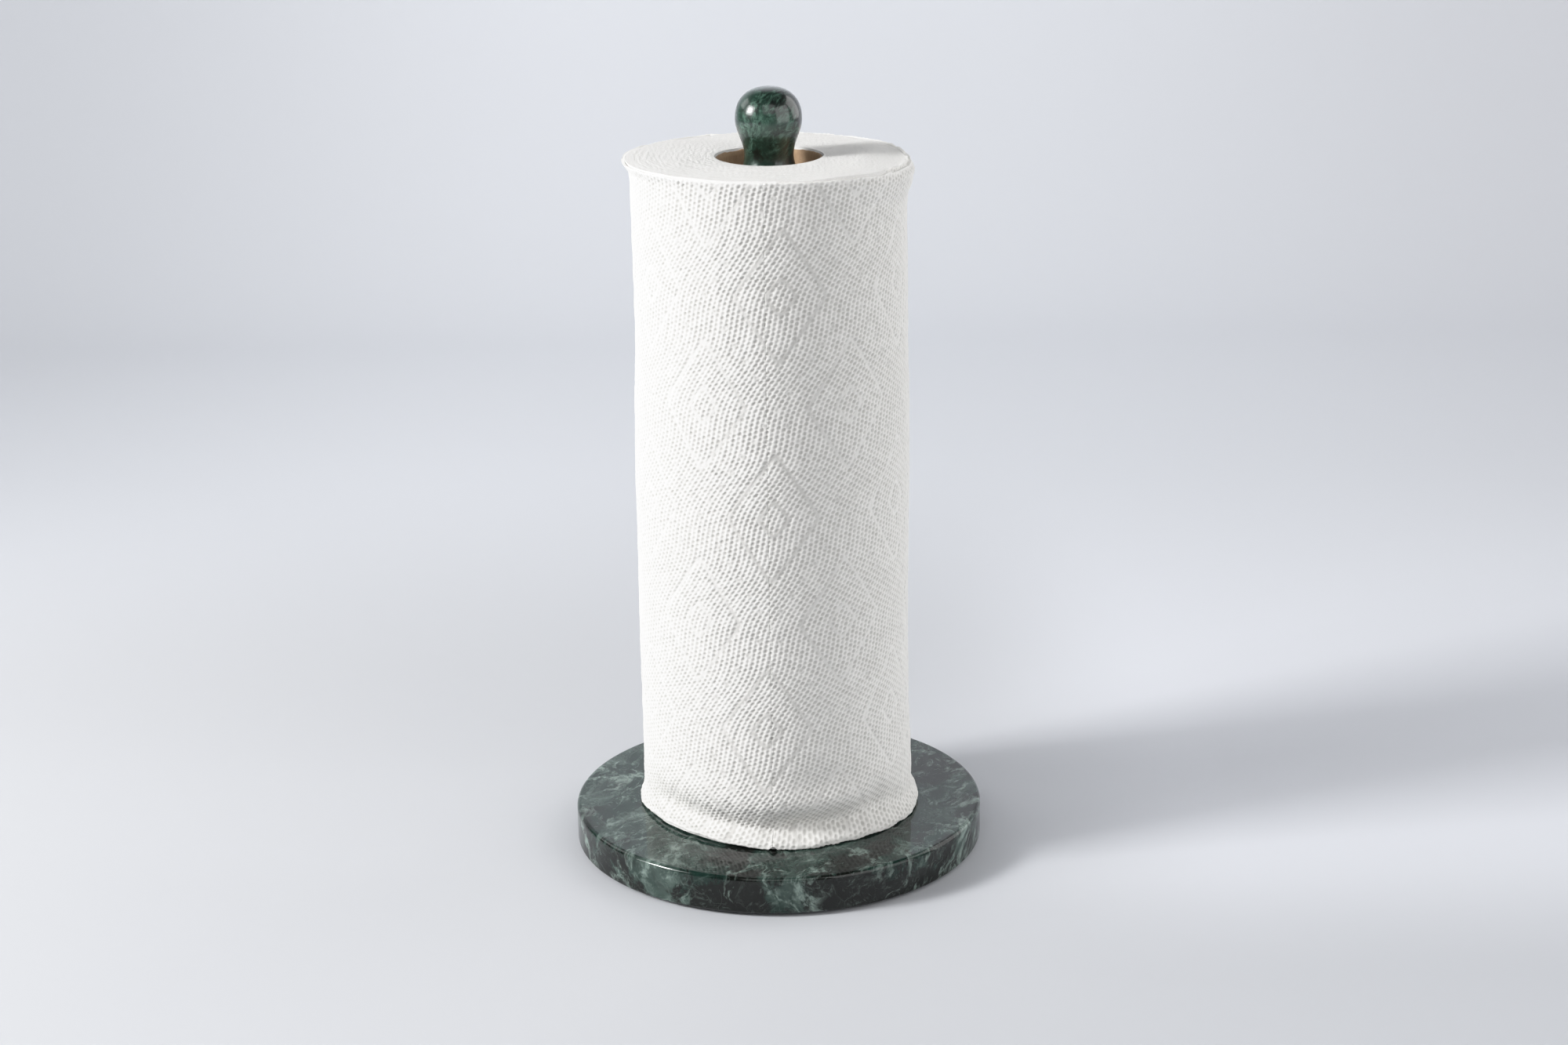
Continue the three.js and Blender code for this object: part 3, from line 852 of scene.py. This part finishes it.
def sheet(name, node, number, material):
    """One sheet of the web: its outer side finely embossed, its inner side plain, joined round the rim.

    Neighbouring sheets meet at a perforation, where their edges are the same.
    """
    near = FREE_EDGE_U - (number + 1) * SHEET_LENGTH
    far = FREE_EDGE_U - number * SHEET_LENGTH
    u, h = embossed_places(near, far)
    relief, press_and_painted_shade = emboss(u, h)
    outside = on_roll(u / WEB_RADIUS, sheet_level(u, h), web_radius(u, h) + relief).reshape(-1, 3)
    inner_u, inner_h = plain_places(near, far)
    inner_radius = web_radius(inner_u, inner_h) - SHEET_THICKNESS
    inside = on_roll(inner_u / WEB_RADIUS, sheet_level(inner_u, inner_h), inner_radius).reshape(-1, 3)

    start = len(outside)
    outer_index = np.arange(start).reshape(u.shape)
    inner_index = np.arange(len(inside)).reshape(inner_u.shape) + start
    quads = np.concatenate([grid_quads(*u.shape), grid_quads(*inner_u.shape, start)[:, ::-1]])
    rim = rim_triangles(outer_index, inner_index, inner_h[:, 0])
    piece = mesh_object(name, np.concatenate([outside, inside]), [quads, rim], material, len(rim))
    layer = piece.data.attributes.new(PRESS_AND_PAINTED_SHADE, "FLOAT", "POINT")
    layer.data.foreach_set("value", np.concatenate([press_and_painted_shade.ravel(), np.zeros(len(inside))]))
    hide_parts(node)
    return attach(piece, "roll_paper")


def end_face(theta, share, level, seed):
    """One end of the windings: the radius of each point, and how far it stands proud of its neighbours.

    share is how far out the point is, from 0 at the core to 1 at the outside.
    """
    inner = CORE_OUTSIDE + 0.1
    radius = inner + (windings_radius(theta, level) - inner) * share
    x, y = radius * np.cos(theta), radius * np.sin(theta)
    turn = radius / RING_SPACING - theta / (2 * math.pi)
    proud = np.sin(turn * 2 * math.pi) * 0.02
    proud = proud + 0.03 * ripples(radius * 3.1, theta * 9, 2.0, 9, 10, seed)
    proud = proud + 0.05 * ripples(x, y, 1.0, 2.6, 16, seed + 2)
    proud = proud + 0.10 * ripples(x, y, 12, 40, 6, seed + 1)
    return radius, proud * step_between(share, 0, 0.04)


def windings(material):
    """The wound body. Its ends are uneven, and the turns' edges show on them as shallow rings."""
    theta = ring_angles(400)
    share = np.linspace(0, 1, 88)[:, None]
    top_radius, top_proud = end_face(theta, share, ROLL_HEIGHT, 21)
    low_radius, low_proud = end_face(theta, share, 0.0, 31)
    levels = np.concatenate([
        np.arange(0.7, 32, 0.7),
        np.linspace(32, 250, 16),
        np.linspace(253, 278, 10),
    ])[:, None]
    # The top is lower in front, and towards the outside where the turns are loose.
    dip = 0.5 * np.maximum(np.cos(theta), 0) ** 2
    dip = dip + 1.2 * looseness(theta, ROLL_HEIGHT) * step_between(share, 0.5, 1.0)
    piece = tube_object("wound_paper", [
        on_roll(theta, 0.35 + low_proud * 0.4, low_radius),
        on_roll(theta, levels, windings_radius(theta, levels)),
        on_roll(theta, ROLL_HEIGHT - END_INSET - dip + top_proud, top_radius)[::-1],
    ], material)
    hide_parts("windings")
    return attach(piece, "roll_paper")


def core(material):
    """Spirally wound board: a shallow ridge runs up inside it where the strips meet."""
    theta = ring_angles(192)
    top = ROLL_HEIGHT - CORE_SHORTER
    h = np.linspace(END_INSET, top - END_INSET, 150)[:, None]
    place = np.mod(h / STRIP_LEAD - theta / (2 * math.pi), 1)
    seam = 0.12 * np.exp(-(np.minimum(place, 1 - place) * STRIP_LEAD / 1.6) ** 2)
    fray = 0.05 * ripples(theta * 20, h, 3, 9, 8, 41)
    inner_wall = CORE_INSIDE + seam + fray
    middle = (CORE_INSIDE + CORE_OUTSIDE) / 2
    ragged = 0.12 * ripples(theta * 20, theta * 0, 1.5, 6, 8, 42)
    piece = tube_object("cardboard_core", [
        on_roll(theta, h, CORE_OUTSIDE - CLEARANCE),
        on_roll(theta, top + ragged, middle),
        on_roll(theta, h, inner_wall)[::-1],
        on_roll(theta, 0.1, middle),
    ], material)
    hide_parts("core")
    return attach(piece, "roll_core")


# ---------------------------------------------------------------- studio


def camera():
    """In front of the object, above its top, and tilted down to it."""
    distance, height = 1088.7, 485.3
    pitch, yaw, roll = math.radians(17.55), math.radians(0.21), math.radians(-0.80)
    forward = Vector((math.sin(yaw) * math.cos(pitch), math.cos(yaw) * math.cos(pitch), -math.sin(pitch)))
    right = Vector((math.cos(yaw), -math.sin(yaw), 0))
    up = right.cross(forward)
    tilted_right = right * math.cos(roll) + up * math.sin(roll)
    tilted_up = up * math.cos(roll) - right * math.sin(roll)
    data = bpy.data.cameras.new("camera")
    data.sensor_width, data.lens = 36, 62.15
    data.clip_start, data.clip_end = 0.05, 50
    obj = bpy.data.objects.new("camera", data)
    turn = Matrix((tilted_right, tilted_up, -forward)).transposed().to_4x4()
    obj.matrix_world = Matrix.Translation(Vector((0, -distance, height)) * MM) @ turn
    bpy.context.scene.collection.objects.link(obj)
    bpy.context.scene.camera = obj


LIGHTS_AIM = 170.0                      # the level that the lights are aimed at


def softbox(name, azimuth, elevation, distance, side, power):
    """A square area light aimed at the middle of the object, with its distance and side in metres.

    Azimuth is from the front towards the right, in degrees.
    """
    data = bpy.data.lights.new(name, "AREA")
    data.shape, data.energy = "SQUARE", power
    data.size = side
    obj = bpy.data.objects.new(name, data)
    a, e = math.radians(azimuth), math.radians(elevation)
    outward = Vector((math.sin(a) * math.cos(e), -math.cos(a) * math.cos(e), math.sin(e)))
    obj.location = Vector((0, 0, LIGHTS_AIM * MM)) + outward * distance
    obj.rotation_euler = outward.to_track_quat("Z", "Y").to_euler()
    bpy.context.scene.collection.objects.link(obj)


def studio():
    """A pale paper sweep with painted light and shade on it, a soft white surround and a key light from the
    left.
    """
    s = Shader("studio_floor")
    parts = s.nodes.new("ShaderNodeSeparateXYZ")
    s.put(parts, "Vector", s.millimetres())
    # Painted light: the sweep behind the object is paler, and paler still up its wall, where the lamps'
    # light has fallen off.
    back = s.between(parts.outputs["Y"], 150, 600)
    floor = s.mix(s.between(parts.outputs["X"], -500, 500), (0.580, 0.590, 0.615), (0.580, 0.595, 0.630))
    # Painted light: the floor to the right of the object, where its shadow falls, is paler, which lightens
    # that shadow.
    painted_shadow_fill = s.between(parts.outputs["X"], 60, 200)
    painted_shadow_fill = s.math("MULTIPLY", painted_shadow_fill, s.between(parts.outputs["Y"], -150, 0))
    floor = s.mix(painted_shadow_fill, floor, (0.750, 0.768, 0.818))
    colour = s.mix(back, floor, (0.710, 0.730, 0.775))
    colour = s.mix(s.between(parts.outputs["Z"], 100, 900), colour, (0.925, 0.960, 1.000))
    # Painted shade: the back of the sweep is darker towards its left and right.
    left_shade = s.math("MULTIPLY", s.between(parts.outputs["X"], -100, -700), back)
    colour = s.mix(left_shade, colour, (0.530, 0.545, 0.580))
    right_shade = s.math("MULTIPLY", s.between(parts.outputs["X"], 150, 800), back)
    colour = s.mix(s.math("MULTIPLY", right_shade, 0.85), colour, (0.590, 0.600, 0.635))
    material = s.finish(Base_Color=colour, Roughness=0.85, Specular_IOR_Level=0.2)
    half, front, curve_start, curve, top = 1650, -1500, 900, 450, 2200
    profile = [(front, 0), (curve_start, 0)]
    for angle in np.linspace(0, math.pi / 2, 25)[1:]:
        profile.append((curve_start + curve * math.sin(angle), curve * (1 - math.cos(angle))))
    profile.append((curve_start + curve, top))
    points = np.array([(x, y, z) for y, z in profile for x in (-half, half)], float)
    sweep = mesh_object("sweep", points, [grid_quads(len(profile), 2)], material)

    surround()
    softbox("key", -72, 26, 1.78, 0.36, 27)
    softbox("key_edge", -72, 26, 1.80, 0.85, 15)
    softbox("fill_left_back", -115, 30, 2.4, 1.0, 6)
    softbox("fill_right", 52, 18, 2.2, 2.0, 23.5)
    softbox("fill_right_back", 115, 22, 2.2, 2.0, 25)
    softbox("fill_front", 0, 38, 2.4, 1.6, 9)


def surround():
    """A dim room as far as its light goes, which looks pale grey to the camera beyond the sweep's edges."""
    world = bpy.data.worlds.new("surround")
    world.use_nodes = True
    nodes, links = world.node_tree.nodes, world.node_tree.links
    room = nodes["Background"]
    room.inputs["Color"].default_value = (0.93, 0.96, 1.0, 1)
    room.inputs["Strength"].default_value = 0.04
    seen = nodes.new("ShaderNodeBackground")
    seen.inputs["Color"].default_value = (0.74, 0.77, 0.82, 1)
    chosen = nodes.new("ShaderNodeMixShader")
    links.new(nodes.new("ShaderNodeLightPath").outputs["Is Camera Ray"], chosen.inputs["Fac"])
    links.new(room.outputs[0], chosen.inputs[1])
    links.new(seen.outputs[0], chosen.inputs[2])
    links.new(chosen.outputs[0], nodes["World Output"].inputs["Surface"])
    bpy.context.scene.world = world


# Light in the scene against light shown.
SHOULDER = [
    (0, 0), (0.30, 0.30), (0.60, 0.60), (0.80, 0.78), (0.90, 0.86), (1.0, 0.915), (1.13, 0.96), (1.3, 0.99),
]


def camera_response():
    """A standard display transform, with a shoulder so that the brightest paper keeps its texture."""
    brightest, brightest_shown = SHOULDER[-1]
    view = bpy.context.scene.view_settings
    view.view_transform = "Standard"
    view.use_curve_mapping = True
    response = view.curve_mapping
    response.white_level = (brightest,) * 3
    combined = response.curves[3]
    for light, shown in SHOULDER[1:-1]:
        combined.points.new(light / brightest, shown)
    combined.points[-1].location = (1, brightest_shown)
    response.update()


# ---------------------------------------------------------------- assembly

camera()
studio()
camera_response()

# The stones' slope arguments paint light: each stone is paler towards the left, where the key light falls,
# and the base is paler upwards too.
base(marble(
    "marble_base", grain=1.25,
    dark=(0.007, 0.006, 0.005), green=(0.011, 0.028, 0.022), pale=(0.24, 0.31, 0.275),
    dark_share=0.582, painted_light_slope=(-0.0010, 0.0002, 0.006), strokes=0.13, glow=0.0, polish=0.07,
))
post(marble(
    "marble_post", grain=0.50,
    dark=(0.003, 0.007, 0.005), green=(0.010, 0.031, 0.021), pale=(0.085, 0.165, 0.125),
    dark_share=0.465, painted_light_slope=(-0.008, 0.0, 0.0), strokes=0.06, glow=0.5, polish=0.10,
))

steel = zinc()
for node in ("threaded_stud", "flat_washer", "lock_washer", "hex_nut"):
    finish_cad_node(node, steel)
finish_cad_node("fibre_washer", fibre_red())
foam = rubber()
for node in PAD_NAMES:
    finish_cad_node(node, foam)

core(cardboard())
windings(paper_edges())
tissue = paper()
for number in range(SHEET_COUNT):
    sheet(f"paper_sheet_{number + 1}", f"sheet_{number + 1}", number, tissue)
